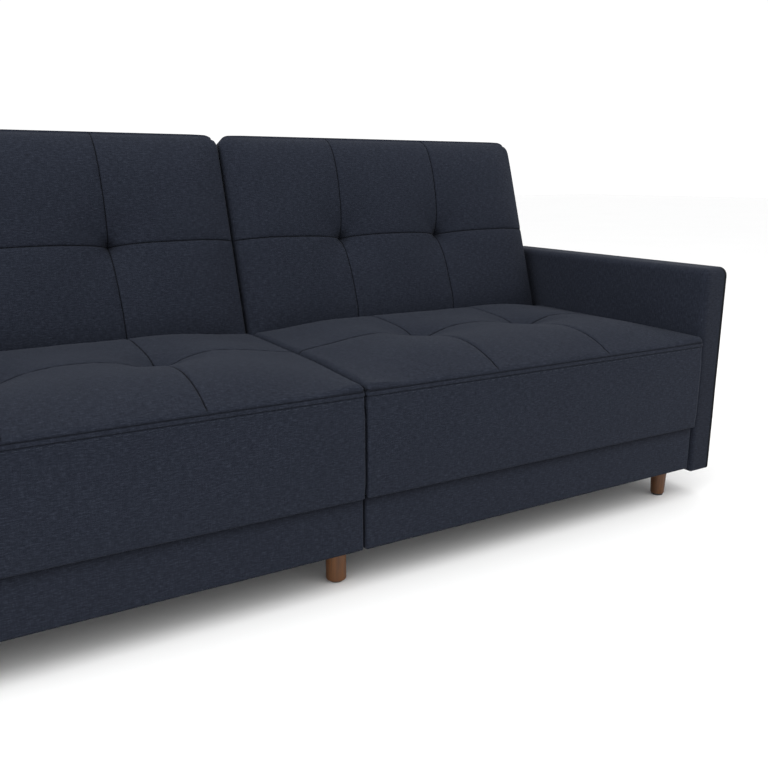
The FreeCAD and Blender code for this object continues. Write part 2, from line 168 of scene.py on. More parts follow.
def mix_col(nt, fac, a, b, blend="MIX"):
    n = node(nt, "ShaderNodeMix", data_type="RGBA", blend_type=blend)
    ins = [i for i in n.inputs if i.enabled or True]
    f = [i for i in n.inputs if i.name == "Factor" and i.type == "VALUE"][0]
    A = [i for i in n.inputs if i.name == "A" and i.type == "RGBA"][0]
    B = [i for i in n.inputs if i.name == "B" and i.type == "RGBA"][0]
    for s, v in ((f, fac), (A, a), (B, b)):
        if isinstance(v, (int, float)):
            s.default_value = v
        elif isinstance(v, tuple):
            s.default_value = (*v, 1)
        else:
            nt.links.new(v, s)
    return [o for o in n.outputs if o.type == "RGBA"][0]


def flat_coords(nt):
    """Cloth coordinates in metres: the two axes that lie in the surface, picked by the normal."""
    tc = node(nt, "ShaderNodeTexCoord")
    sep = node(nt, "ShaderNodeSeparateXYZ")
    nt.links.new(tc.outputs["Object"], sep.inputs[0])
    nsep = node(nt, "ShaderNodeSeparateXYZ")
    nt.links.new(tc.outputs["Normal"], nsep.inputs[0])
    x, y, z = sep.outputs
    ax = math_node(nt, "ABSOLUTE", nsep.outputs[0])
    ay = math_node(nt, "ABSOLUTE", nsep.outputs[1])
    az = math_node(nt, "ABSOLUTE", nsep.outputs[2])
    # faces that look along X run their weft upright; the rest run it along X
    side = math_node(nt, "GREATER_THAN", ax, math_node(nt, "MAXIMUM", ay, az))
    top = math_node(nt, "GREATER_THAN", az, ay)
    u = mix_val(nt, side, x, z)
    v0 = mix_val(nt, top, z, y)
    v = mix_val(nt, side, v0, y)
    comb = node(nt, "ShaderNodeCombineXYZ")
    nt.links.new(u, comb.inputs[0])
    nt.links.new(v, comb.inputs[1])
    return comb.outputs[0], u, v, tc.outputs["Object"]


def fabric(name, base, light, dark, pitch=0.0011, sheen=0.07, bump=0.35, contrast=0.34, painted_shade=(0.0013, 0.0015, 0.0025)):
    """Plain-woven heathered linen look: warp and weft threads, slubs, lighter flecks, and painted shade darkening the
    sewn folds, tufts and edges.
    """
    m, nt, bsdf = material(name)
    uv, u, v, obj = flat_coords(nt)
    # uneven yarn: long thin streaks each way, a fine set and a coarse set
    weft = noise(nt, mapping(nt, uv, (105, 640, 1)), 1.0, 2.0, 0.6)
    warp = noise(nt, mapping(nt, uv, (640, 105, 1)), 1.0, 2.0, 0.6)
    slub = noise(nt, mapping(nt, uv, (66, 400, 1)), 1.0, 1.0, 0.5)
    slub2 = noise(nt, mapping(nt, uv, (400, 66, 1)), 1.0, 1.0, 0.5)
    cloud = noise(nt, obj, 9.0, 2.0, 0.5)
    # threads
    wu = math_node(nt, "SINE", math_node(nt, "MULTIPLY", u, 2 * math.pi / pitch))
    wv = math_node(nt, "SINE", math_node(nt, "MULTIPLY", v, 2 * math.pi / pitch))
    checker = math_node(nt, "MULTIPLY", wu, wv)
    over = math_node(nt, "MULTIPLY_ADD", checker, 0.5, 0.5)
    yarn = mix_val(nt, over, weft, warp)
    # each noise is centred on 0.5; the sum stays centred on 0.5
    tone = math_node(nt, "MULTIPLY", yarn, 1.0)
    tone = math_node(nt, "MULTIPLY_ADD", math_node(nt, "SUBTRACT", weft, 0.5), 0.9, tone)
    tone = math_node(nt, "MULTIPLY_ADD", math_node(nt, "SUBTRACT", slub, 0.5), 0.65, tone)
    tone = math_node(nt, "MULTIPLY_ADD", math_node(nt, "SUBTRACT", slub2, 0.5), 0.40, tone)
    tone = math_node(nt, "MULTIPLY_ADD", math_node(nt, "SUBTRACT", cloud, 0.5), 0.12, tone)
    tone = math_node(nt, "MULTIPLY_ADD", math_node(nt, "SUBTRACT", tone, 0.5), contrast, 0.5)
    col = ramp(nt, tone, [(0.20, dark), (0.50, base), (0.80, light)])
    # painted shade: a per-point attribute mixes the cloth colour toward near-black navy in seams, round tufts and along
    # edges
    att = node(nt, "ShaderNodeAttribute", attribute_type="GEOMETRY", attribute_name="painted_shade")
    out = mix_col(nt, att.outputs["Fac"], col.outputs["Color"], painted_shade)
    nt.links.new(out, bsdf.inputs["Base Color"])
    bsdf.inputs["Roughness"].default_value = 0.92
    bsdf.inputs["Specular IOR Level"].default_value = 0.08
    bsdf.inputs["Sheen Weight"].default_value = sheen
    bsdf.inputs["Sheen Roughness"].default_value = 0.5
    bsdf.inputs["Sheen Tint"].default_value = (0.34, 0.37, 0.44, 1)
    h = math_node(nt, "ADD", math_node(nt, "MULTIPLY", over, 0.45), math_node(nt, "MULTIPLY", yarn, 1.1))
    h = math_node(nt, "ADD", h, math_node(nt, "MULTIPLY", slub, 0.9))
    b = node(nt, "ShaderNodeBump")
    b.inputs["Strength"].default_value = bump
    b.inputs["Distance"].default_value = 0.0009
    nt.links.new(h, b.inputs["Height"])
    nt.links.new(b.outputs["Normal"], bsdf.inputs["Normal"])
    return m


def wood(name, dark, mid, light, along="Z", scale=1.0, rough=0.42, coat=0.0):
    m, nt, bsdf = material(name)
    tc = node(nt, "ShaderNodeTexCoord")
    stretch = {"X": (3, 40, 40), "Y": (40, 3, 40), "Z": (40, 40, 3)}[along]
    vec = mapping(nt, tc.outputs["Object"], tuple(s * scale for s in stretch))
    warp = noise(nt, vec, 0.35, 3.0, 0.5)
    grain = noise(nt, vec, 1.6, 6.0, 0.62, 0.6)
    fine_s = {"X": (12, 900, 900), "Y": (900, 12, 900), "Z": (900, 900, 12)}[along]
    pores = noise(nt, mapping(nt, tc.outputs["Object"], fine_s), 1.0, 2.0, 0.5)
    t = math_node(nt, "ADD", math_node(nt, "MULTIPLY", grain, 0.6), math_node(nt, "MULTIPLY", warp, 0.4))
    col = ramp(nt, t, [(0.34, dark), (0.48, mid), (0.66, light)])
    pore_mask = ramp(nt, pores, [(0.30, (0.55, 0.5, 0.45)), (0.42, (1, 1, 1))])
    out = mix_col(nt, 1.0, col.outputs["Color"], pore_mask.outputs["Color"], "MULTIPLY")
    nt.links.new(out, bsdf.inputs["Base Color"])
    r = math_node(nt, "MULTIPLY_ADD", grain, 0.22, rough - 0.1)
    nt.links.new(r, bsdf.inputs["Roughness"])
    if coat:
        bsdf.inputs["Coat Weight"].default_value = coat
        bsdf.inputs["Coat Roughness"].default_value = 0.25
    b = node(nt, "ShaderNodeBump")
    b.inputs["Strength"].default_value = 0.25
    b.inputs["Distance"].default_value = 0.0004
    nt.links.new(math_node(nt, "ADD", grain, math_node(nt, "MULTIPLY", pores, 0.5)), b.inputs["Height"])
    nt.links.new(b.outputs["Normal"], bsdf.inputs["Normal"])
    return m


def metal(name, colour, rough, metallic=1.0, fleck=0.12):
    m, nt, bsdf = material(name)
    tc = node(nt, "ShaderNodeTexCoord")
    n1 = noise(nt, tc.outputs["Object"], 700.0, 3.0, 0.6)
    n2 = noise(nt, tc.outputs["Object"], 45.0, 4.0, 0.6)
    lo = tuple(c * (1 - fleck) for c in colour)
    hi = tuple(min(1, c * (1 + fleck)) for c in colour)
    nt.links.new(ramp(nt, n2, [(0.35, lo), (0.65, hi)]).outputs["Color"], bsdf.inputs["Base Color"])
    bsdf.inputs["Metallic"].default_value = metallic
    nt.links.new(math_node(nt, "MULTIPLY_ADD", n2, 0.25, rough - 0.12), bsdf.inputs["Roughness"])
    b = node(nt, "ShaderNodeBump")
    b.inputs["Strength"].default_value = 0.15
    b.inputs["Distance"].default_value = 0.0002
    nt.links.new(n1, b.inputs["Height"])
    nt.links.new(b.outputs["Normal"], bsdf.inputs["Normal"])
    return m


def plastic(name, colour, rough=0.5):
    m = metal(name, colour, rough, 0.0, 0.06)
    m.node_tree.nodes["Principled BSDF"].inputs["Specular IOR Level"].default_value = 0.4
    return m


NAVY = fabric("navy_linen", (0.0122, 0.0148, 0.0231), (0.0340, 0.0400, 0.0575), (0.0034, 0.0044, 0.0077))
THREAD = fabric("stitch_thread", (0.021, 0.026, 0.037), (0.036, 0.043, 0.060), (0.013, 0.016, 0.024), pitch=0.0006, sheen=0.2)
BLACK_CLOTH = fabric("black_spunbond", (0.012, 0.012, 0.013), (0.03, 0.03, 0.032), (0.006, 0.006, 0.006), pitch=0.0018, sheen=0.15)
POCKETS = fabric("spring_pocket_cloth", (0.70, 0.69, 0.66), (0.82, 0.81, 0.79), (0.58, 0.57, 0.54), pitch=0.002, sheen=0.1)
WALNUT = wood("walnut_stain", (0.040, 0.0122, 0.0014), (0.091, 0.0300, 0.0036), (0.142, 0.050, 0.0066), "Z", 1.0, 0.55)
TIMBER_X = wood("pine_along_x", (0.40, 0.26, 0.13), (0.58, 0.41, 0.23), (0.72, 0.55, 0.34), "X", 0.6, 0.62)
TIMBER_Y = wood("pine_along_y", (0.40, 0.26, 0.13), (0.58, 0.41, 0.23), (0.72, 0.55, 0.34), "Y", 0.6, 0.62)
TIMBER_Z = wood("pine_along_z", (0.40, 0.26, 0.13), (0.58, 0.41, 0.23), (0.72, 0.55, 0.34), "Z", 0.6, 0.62)
PLY = wood("birch_ply", (0.50, 0.36, 0.20), (0.66, 0.50, 0.31), (0.78, 0.63, 0.44), "X", 0.25, 0.6)
BLACK_STEEL = metal("black_coated_steel", (0.022, 0.022, 0.024), 0.45, 0.0)
ZINC = metal("zinc_plated_steel", (0.58, 0.58, 0.56), 0.34, 1.0)
BLACK_PLASTIC = plastic("black_nylon", (0.018, 0.018, 0.019), 0.5)


def dress(obj, mat):
    if obj.type == "MESH":
        if not obj.data.materials:
            obj.data.materials.append(mat)
        for i in range(len(obj.material_slots)):
            obj.material_slots[i].material = mat


for name, obj in frame["nodes"].items():
    if name in ("joining_bolts", "arm_bolts", "leg_hanger_bolts", "hinge_post_bolts") or name.endswith(("hinge_rivets", "hinge_screws", "pawl_springs")):
        dress(obj, ZINC)
    elif name.endswith(("hinge_fixed_arms", "hinge_moving_arms", "_pawl")) or name == "leg_plates":
        dress(obj, BLACK_STEEL)
    elif name in ("leg_glides", "joining_spacers", "arm_spacers"):
        dress(obj, BLACK_PLASTIC)
    elif name.endswith("_leg"):
        dress(obj, WALNUT)
    elif name.endswith("pocket_coils"):
        dress(obj, POCKETS)
    elif name.endswith(("webbing", "dust_cover")):
        dress(obj, BLACK_CLOTH)
    elif name.endswith("seat_deck"):
        dress(obj, PLY)
    elif name.endswith(("front_rail", "rear_rail")):
        dress(obj, TIMBER_X)
    elif name.endswith("side_rails"):
        dress(obj, TIMBER_Y)
    elif name.endswith(("arm_frame", "back_frame")) or name in ("corner_blocks", "hinge_posts"):
        dress(obj, TIMBER_Z)
    else:
        dress(obj, NAVY)

# floor
fm, fnt, fb = material("pale_floor")
ftc = node(fnt, "ShaderNodeTexCoord")
fr = ramp(fnt, noise(fnt, ftc.outputs["Object"], 1.2, 2.0), [(0.3, (0.925, 0.925, 0.925)), (0.7, (0.935, 0.935, 0.935))])
fnt.links.new(fr.outputs["Color"], fb.inputs["Base Color"])
fb.inputs["Roughness"].default_value = 0.85
fb.inputs["Specular IOR Level"].default_value = 0.2
fmesh = bpy.data.meshes.new("floor")
S = 30.0
fmesh.from_pydata([(-S, -S, 0), (S, -S, 0), (S, S, 0), (-S, S, 0)], [], [(0, 1, 2, 3)])
floor = bpy.data.objects.new("floor", fmesh)
fmesh.materials.append(fm)
scene.collection.objects.link(floor)


# ------------------------------------------------------------------ grid helpers
NEAR = (-0.011, -0.0075, -0.0048, -0.0030, -0.0018, -0.0009, 0.0, 0.0009, 0.0018, 0.0030, 0.0048, 0.0075, 0.011)
EDGE = (0.0009, 0.0018, 0.0030, 0.0048, 0.0075, 0.0110, 0.0150, 0.0195, 0.0245)


def spaced(lo, hi, step, fine=(), lo_edge=(), hi_edge=()):
    """Grid lines from lo to hi: about step apart, closer near the fine lines and near the ends."""
    near = [f + o for f in fine for o in NEAR if lo < f + o < hi]
    near += [lo + o for o in lo_edge] + [hi - o for o in hi_edge]
    n = max(2, int(round((hi - lo) / step)))
    even = [lo + (hi - lo) * i / n for i in range(1, n)]
    keep = [p for p in even if all(abs(p - q) > step * 0.42 for q in near)]
    allp = sorted(set([lo] + keep + near + [hi]))
    res = [allp[0]]
    for p in allp[1:]:
        if p - res[-1] > 0.0005:
            res.append(p)
    if hi - res[-1] > 1e-9:
        if hi - res[-1] < 0.0005:
            res[-1] = hi
        else:
            res.append(hi)
    return np.array(res)


def box_grid(xs, ys, zs):
    """The six faces of a box as one closed quad mesh over the given grid lines."""
    nx, ny, nz = len(xs), len(ys), len(zs)
    index = {}
    verts = []

    def vid(i, j, k):
        key = (i, j, k)
        if key not in index:
            index[key] = len(verts)
            verts.append((xs[i], ys[j], zs[k]))
        return index[key]

    faces = []
    for i in range(nx - 1):
        for j in range(ny - 1):
            faces.append((vid(i, j, nz - 1), vid(i + 1, j, nz - 1), vid(i + 1, j + 1, nz - 1), vid(i, j + 1, nz - 1)))
            faces.append((vid(i, j, 0), vid(i, j + 1, 0), vid(i + 1, j + 1, 0), vid(i + 1, j, 0)))
    for i in range(nx - 1):
        for k in range(nz - 1):
            faces.append((vid(i, 0, k), vid(i + 1, 0, k), vid(i + 1, 0, k + 1), vid(i, 0, k + 1)))
            faces.append((vid(i, ny - 1, k), vid(i, ny - 1, k + 1), vid(i + 1, ny - 1, k + 1), vid(i + 1, ny - 1, k)))
    for j in range(ny - 1):
        for k in range(nz - 1):
            faces.append((vid(0, j, k), vid(0, j, k + 1), vid(0, j + 1, k + 1), vid(0, j + 1, k)))
            faces.append((vid(nx - 1, j, k), vid(nx - 1, j + 1, k), vid(nx - 1, j + 1, k + 1), vid(nx - 1, j, k + 1)))
    return np.array(verts), faces


def rounded(p, lo, hi, r_lo, r_hi):
    """Rounds a box's edges: r_lo and r_hi are the radii towards each low and high face, and 0 leaves an edge sharp."""
    lo, hi, r_lo, r_hi = (np.asarray(a, dtype=float) for a in (lo, hi, r_lo, r_hi))
    q = np.clip(p, lo + r_lo, hi - r_hi)
    d = p - q
    r = np.where(d < 0, r_lo, r_hi)
    u = np.where(r > 0, d / np.maximum(r, 1e-9), 0.0)
    n = np.sqrt((u ** 2).sum(axis=1))
    m = np.abs(u).max(axis=1)
    k = np.where(n > 1e-9, m / np.maximum(n, 1e-9), 1.0)
    return q + r * u * k[:, None]


def smooth(t):
    t = np.clip(t, 0, 1)
    return t * t * (3 - 2 * t)


def value_noise(p, cell, seed):
    """Smooth noise between -1 and 1 at points p, repeatable for a seed."""
    rng = np.random.default_rng(seed)
    table = rng.uniform(-1, 1, 4096)
    q = p / cell
    i = np.floor(q).astype(int)
    f = q - i
    f = f * f * f * (f * (f * 6 - 15) + 10)
    out = np.zeros(len(p))
    for dx in (0, 1):
        for dy in (0, 1):
            for dz in (0, 1):
                h = ((i[:, 0] + dx) * 73856093 ^ (i[:, 1] + dy) * 19349663 ^ (i[:, 2] + dz) * 83492791) & 4095
                w = (f[:, 0] if dx else 1 - f[:, 0]) * (f[:, 1] if dy else 1 - f[:, 1]) * (f[:, 2] if dz else 1 - f[:, 2])
                out += w * table[h]
    return out


def make_object(name, verts, faces, mat, smooth_shade=True):
    me = bpy.data.meshes.new(name)
    me.from_pydata([tuple(v) for v in verts], [], faces)
    me.materials.append(mat)
    if smooth_shade:
        me.shade_smooth()
    me.update()
    o = bpy.data.objects.new(name, me)
    scene.collection.objects.link(o)
    return o


def coords(o):
    a = np.empty(len(o.data.vertices) * 3)
    o.data.vertices.foreach_get("co", a)
    return a.reshape(-1, 3)


def set_coords(o, a):
    o.data.vertices.foreach_set("co", np.asarray(a, dtype=float).ravel())
    o.data.update()


def apply_modifiers(o):
    dg = bpy.context.evaluated_depsgraph_get()
    me = bpy.data.meshes.new_from_object(o.evaluated_get(dg), preserve_all_data_layers=True, depsgraph=dg)
    old = o.data
    o.modifiers.clear()
    o.data = me
    bpy.data.meshes.remove(old)
    me.name = o.name


def inflate(o, pins, pressure, frames, grow, tension):
    """Swells a closed piece as pressed-up cloth, held back at each point by its pin weight, and returns how far each point moved."""
    start = coords(o)
    g = o.vertex_groups.new(name="pin")
    w = np.round(pins, 2)
    for value in np.unique(w):
        if value > 0:
            g.add([int(i) for i in np.where(w == value)[0]], float(value), "REPLACE")
    m = o.modifiers.new("cloth", "CLOTH")
    c = m.settings
    c.quality = 6
    c.mass = 0.25
    c.tension_stiffness = c.compression_stiffness = tension
    c.shear_stiffness = tension * 0.5
    c.bending_stiffness = 0.4
    c.tension_damping = c.compression_damping = 12
    c.air_damping = 4
    c.use_pressure = True
    c.uniform_pressure_force = pressure
    c.shrink_min = -grow
    c.vertex_group_mass = "pin"
    c.pin_stiffness = 1.0
    c.effector_weights.gravity = 0
    m.collision_settings.use_collision = False
    m.point_cache.frame_start, m.point_cache.frame_end = 1, frames
    scene.frame_start, scene.frame_end = 1, frames
    for f in range(1, frames + 1):
        scene.frame_set(f)
    me = o.evaluated_get(bpy.context.evaluated_depsgraph_get()).data
    a = np.empty(len(me.vertices) * 3)
    me.vertices.foreach_get("co", a)
    a = a.reshape(-1, 3).copy()
    o.modifiers.clear()
    scene.frame_set(1)
    return a - start


def cubic(field, ax, ay, px, py):
    """Smooth (Catmull-Rom) reading of a field given on an even grid."""
    nx, ny = len(ax), len(ay)
    u = np.clip((px - ax[0]) / (ax[1] - ax[0]), 0, nx - 1 - 1e-6)
    v = np.clip((py - ay[0]) / (ay[1] - ay[0]), 0, ny - 1 - 1e-6)
    i, j = np.floor(u).astype(int), np.floor(v).astype(int)
    f, g = u - i, v - j

    def weights(t):
        return (-0.5 * t + t * t - 0.5 * t ** 3, 1 - 2.5 * t * t + 1.5 * t ** 3, 0.5 * t + 2 * t * t - 1.5 * t ** 3, -0.5 * t * t + 0.5 * t ** 3)

    wx, wy = weights(f), weights(g)
    out = np.zeros((len(px), field.shape[2]))
    for a in range(4):
        for b in range(4):
            ii, jj = np.clip(i + a - 1, 0, nx - 1), np.clip(j + b - 1, 0, ny - 1)
            out += field[ii, jj] * (wx[a] * wy[b])[:, None]
    return out


SIM_STEP = 0.0085
PUFF = 0.0030          # how far the middle of a panel swells out past its sewn shape


def seam_distance(x, y, seams_x, seam_y):
    d = np.abs(y - seam_y)
    for sx in seams_x:
        d = np.minimum(d, np.abs(x - sx))
    return d


def swelling(label, area, bottom, top, height, seams_x, seam_y, tufts, pressure, grow):
    """The extra swell of a sewn top panel over its resting height, as a function of (x, y): three numbers per point."""
    x0, x1, y0, y1 = area

    nx, ny = int(round((x1 - x0) / SIM_STEP)) + 1, int(round((y1 - y0) / SIM_STEP)) + 1
    ax, ay = np.linspace(x0, x1, nx), np.linspace(y0, y1, ny)
    verts, faces = box_grid(ax, ay, np.array([bottom, top]))
    is_top = verts[:, 2] > (bottom + top) / 2
    shape = verts.copy()
    shape[is_top, 2] += height(verts[is_top, 0], verts[is_top, 1])
    o = make_object(label + "_swelling", shape, faces, NAVY)
    px, py = verts[:, 0], verts[:, 1]
    edge = np.minimum(np.minimum(px - x0, x1 - px), np.minimum(py - y0, y1 - py))
    hold = 1 - smooth((edge - 0.004) / 0.040)
    d = seam_distance(px, py, seams_x, seam_y)
    hold = np.maximum(hold, 0.5 * np.exp(-(d / 0.007) ** 2))
    for tx, ty in tufts:
        r = np.hypot(px - tx, py - ty)
        hold = np.maximum(hold, np.exp(-(r / 0.018) ** 2))
    hold[~is_top] = 1.0
    moved = inflate(o, hold, pressure, 18, grow, 16.0)
    field = np.zeros((nx, ny, 3))
    top_ids = np.where(is_top)[0]
    ii = np.rint((px[top_ids] - x0) / (ax[1] - ax[0])).astype(int)
    jj = np.rint((py[top_ids] - y0) / (ay[1] - ay[0])).astype(int)
    field[ii, jj] = moved[top_ids]
    old = o.data
    bpy.data.objects.remove(o)
    bpy.data.meshes.remove(old)
    # one even strength for every cushion, and no point may go further than the cap
    lift = field[:, :, 2]
    print(label, "cloth lift mm: 50%% %.1f  95%% %.1f  max %.1f  min %.1f" % (*(np.percentile(lift, (50, 95)) * 1000), lift.max() * 1000, lift.min() * 1000))
    k = PUFF * 1.15 / max(float(np.percentile(lift, 95)), 1e-4)
    field = field * k
    n = np.linalg.norm(field, axis=2)
    field *= np.where(n > 0.022, 0.022 / np.maximum(n, 1e-9), 1.0)[:, :, None]
    return lambda qx, qy: cubic(field, ax, ay, qx, qy)


# ------------------------------------------------------------------ sewn details
def groove(d, depth, width):
    """A sewn line: a sharp fold with a soft shoulder, by distance from it."""
    return -depth * (0.72 * np.exp(-np.abs(d) / width) + 0.28 * np.exp(-(d / (width * 3.2)) ** 2))


# painted shade: how strongly the cloth is darkened, by distance from a sewn line
def painted_shade_of(d, width=0.0010):
    return np.exp(-(d / width) ** 2)


def puckers(x, y, seams_x, seam_y, seed, amp=0.0006):
    """Small gathers that run off the seams."""
    out = np.zeros_like(x)
    p = np.stack([x, y, np.zeros_like(x)], axis=1)
    wob = value_noise(p, 0.11, seed) * 0.5 + 0.5
    for n, sx in enumerate(seams_x):
        out += wob * np.exp(-np.abs(x - sx) / 0.008) * np.sin(y * 2 * math.pi / 0.0165 + 3 * value_noise(p, 0.03, seed + n) + n)
    out += wob * np.exp(-np.abs(y - seam_y) / 0.008) * np.sin(x * 2 * math.pi / 0.0175 + 3 * value_noise(p, 0.03, seed + 7))
    return amp * out


def tuft_folds(x, y, tufts, seed, amp=0.0016):
    """Short folds that run into each tuft like spokes."""
    out = np.zeros_like(x)
    rng = np.random.default_rng(seed)
    for tx, ty in tufts:
        dx, dy = x - tx, y - ty
        r = np.hypot(dx, dy)
        a = np.arctan2(dy, dx)
        w = np.exp(-((r - 0.020) / 0.014) ** 2)
        out += amp * w * (0.6 * np.sin(8 * a + rng.uniform(0, 6)) + 0.4 * np.sin(5 * a + rng.uniform(0, 6)))
    return out


# painted shade: stores the per-point darkening that the cloth material mixes in
def set_painted_shade(o, values):
    at = o.data.attributes.new("painted_shade", "FLOAT", "POINT")
    at.data.foreach_set("value", np.clip(values, 0, 1).astype(np.float32))


# ------------------------------------------------------------------ seat cushions
SEAM_Z = 0.391           # where the top panel is sewn to the front band
FELL = 0.0078            # width of the flat-felled band under it


def build_seat(side, sx, seed):
    lo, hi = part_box(side + "_seat_cushion")
    x0, x1 = (lo[0], hi[0]) if sx > 0 else (-hi[0], -lo[0])
    y0, y1, z0 = lo[1], hi[1], lo[2]
    zb = SEAM_Z
    seams_x = [x0 + (x1 - x0) / 3 - (0.008 if sx < 0 else 0.0), x0 + 2 * (x1 - x0) / 3]
    seam_y = y0 + 0.299
    tufts = [(s, seam_y) for s in seams_x]

    def height(x, y):
        ex = np.clip(np.minimum(x - x0, x1 - x), 0, None)
        front, rear = np.clip(y - y0, 0, None), np.clip(y1 - y, 0, None)
        soft = lambda d, l, p: 1 - np.clip(1 - d / l, 0, 1) ** p
        quarter = lambda d, r: np.sqrt(np.clip(1 - (1 - np.clip(d / r, 0, 1)) ** 2, 0, 1))
        slope_f = soft(front, 0.170, 2.3)
        slope_r = 0.45 * quarter(rear, 0.022) + 0.55 * soft(rear, 0.100, 2.2)
        mid = smooth(ex / 0.10)
        # a small roll all round, a squarer shoulder along the sides, and a long soft crown
        h = 0.006 * quarter(ex, 0.012) * quarter(front, 0.008) * quarter(rear, 0.015)
        h = h + 0.009 * quarter(ex, 0.012) * (quarter(front, 0.010) * (1 - mid) + slope_f * mid) * quarter(rear, 0.020)
        middle = 0.0060 - 0.0045 * smooth((y - seam_y) / 0.14)
        h = h + (0.0290 * soft(ex, 0.200, 1.45) + middle * smooth((ex - 0.06) / 0.18)) * slope_f * slope_r
        near_join = np.clip(x - x0, 0, None)
        h = h + 0.0050 * quarter(near_join, 0.012) * np.exp(-near_join / 0.11) * smooth((front - 0.03) / 0.20) * slope_r
        rise = soft(ex, 0.10, 2.0) * slope_f * slope_r
        h = h - 0.0035 * rise * smooth((y - seam_y) / 0.12)
        for tx, ty in tufts:
            r = np.hypot(x - tx, y - ty)
            h = h - 0.0410 * np.exp(-((r + 0.002) / 0.064) ** 1.15) * np.clip(rise * 1.4, 0, 1)
        for s in seams_x:
            h = h - 0.0010 * rise * np.exp(-np.abs(x - s) / 0.025)
        h = h - 0.0010 * rise * np.exp(-np.abs(y - seam_y) / 0.025)
        return h

    swell = swelling(side + "_seat", (x0, x1, y0, y1), z0, zb, height, seams_x, seam_y, tufts, 3.6, 0.012)
    xs = spaced(x0, x1, 0.0075, seams_x, EDGE, EDGE)
    ys = spaced(y0, y1, 0.0075, [seam_y], EDGE, EDGE)
    zs = spaced(z0, zb, 0.0090, [zb - FELL], EDGE[1:6], EDGE[:4])
    flat, faces = box_grid(xs, ys, zs)
    c = rounded(flat, (x0, y0, z0), (x1, y1, zb), (0.006, 0.006, 0.0025), (0.006, 0.010, 0.0))
    px, py = c[:, 0].copy(), c[:, 1].copy()
    top = flat[:, 2] > zb - 1e-7
    ex = np.minimum(flat[:, 0] - x0, x1 - flat[:, 0])
    ey = np.minimum(flat[:, 1] - y0, y1 - flat[:, 1])
    rim = np.minimum(ex, ey)
    t = top
    c[t, 2] += height(px[t], py[t])
    c[t] += swell(px[t], py[t]) * (0.30 + 0.70 * smooth(ex[t] / 0.13))[:, None]
    n = value_noise(c, 0.13, seed) + 0.5 * value_noise(c, 0.06, seed + 1)
    c[t, 2] += (n * 0.0010 * smooth(rim / 0.05))[t]
    d = seam_distance(px, py, seams_x, seam_y)
    near = np.full(len(c), 1e9)
    for tx, ty in tufts:
        near = np.minimum(near, np.hypot(px - tx, py - ty))
    fade = smooth(rim / 0.012)
    cross = np.abs(py - seam_y)
    c[t, 2] += (fade * (groove(d, 0.0030, 0.0013) + puckers(px, py, seams_x, seam_y, seed + 20, 0.0006)
                        + tuft_folds(px, py, tufts, seed + 40) - 0.0060 * np.exp(-(near / 0.0085) ** 2)))[t]
    # painted shade: darkens the cloth along the sewn seams and round the tufts
    painted_shade = np.zeros(len(c))
    painted_shade[t] = (np.maximum(np.maximum(painted_shade_of(d, 0.0014), 0.9 * painted_shade_of(cross, 0.0026)), 0.8 * np.exp(-(near / 0.004) ** 2)) * smooth(rim / 0.006))[t]
    # the rim: top panel sewn to the band, a sharp fold all the way round
    front = flat[:, 1] < y0 + 1e-7
    rear = flat[:, 1] > y1 - 1e-7
    left, right = flat[:, 0] < x0 + 1e-7, flat[:, 0] > x1 - 1e-7
    walls = front | rear | left | right
    down = zb - flat[:, 2]
    # outward direction of the wall under each point
    out = np.zeros_like(c)
    out[front, 1] = -1
    out[rear, 1] = 1
    out[left, 0] = -1
    out[right, 0] = 1
    ln = np.linalg.norm(out, axis=1)
    out = out / np.maximum(ln, 1)[:, None]
    fold = -0.0016 * np.exp(-down / 0.0008)
    band = 0.0009 * smooth(down / 0.0014) * smooth((FELL + 0.0002 - down) / 0.0010)
    low = -0.0008 * np.exp(-((down - FELL - 0.0006) / 0.0008) ** 2)
    # below the seam the wall is almost flat, a little full at mid height
    below = smooth((down - 0.022) / 0.03) * smooth((flat[:, 2] - z0 - 0.004) / 0.03)
    full = 0.0016 * below * np.where(front, 1.0, -0.5)
    wave = value_noise(c, 0.16, seed + 5) * 0.0007 * below
    c += out * (np.where(walls, fold + band + low + full + wave, 0.0))[:, None]
    lip = (1 - smooth((flat[:, 1] - y0) / 0.0065)) * (1 - smooth((flat[:, 2] - z0) / 0.055))
    c[:, 2] -= 0.0042 * lip
    # painted shade: dark lines along the sewn rim and the felled band's lower edge, and darkening at the underside edge
    edge_line = np.where(walls, np.exp(-(down / 0.0008) ** 2), 0)
    edge_line = np.where(top & ~walls, 0.35 * np.exp(-(rim / 0.0008) ** 2), edge_line)
    painted_shade = np.maximum(painted_shade, 0.74 * edge_line)
    painted_shade = np.maximum(painted_shade, np.where(walls, 0.66 * np.exp(-((down - FELL - 0.0004) / 0.0011) ** 2), 0))
    # the underside edge is always in its own shade
    painted_shade = np.maximum(painted_shade, np.where(walls, 0.5 * np.exp(-(flat[:, 2] - z0) / 0.0020), 0))
    if sx < 0:
        c[:, 0] = -c[:, 0]
    o = make_object(side + "_seat_upholstery", c, faces, NAVY)
    set_painted_shade(o, painted_shade)
    if sx < 0:
        o.data.flip_normals()
    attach(o, "base")
    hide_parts(side + "_seat_cushion")
    return dict(x0=x0, x1=x1, y0=y0)


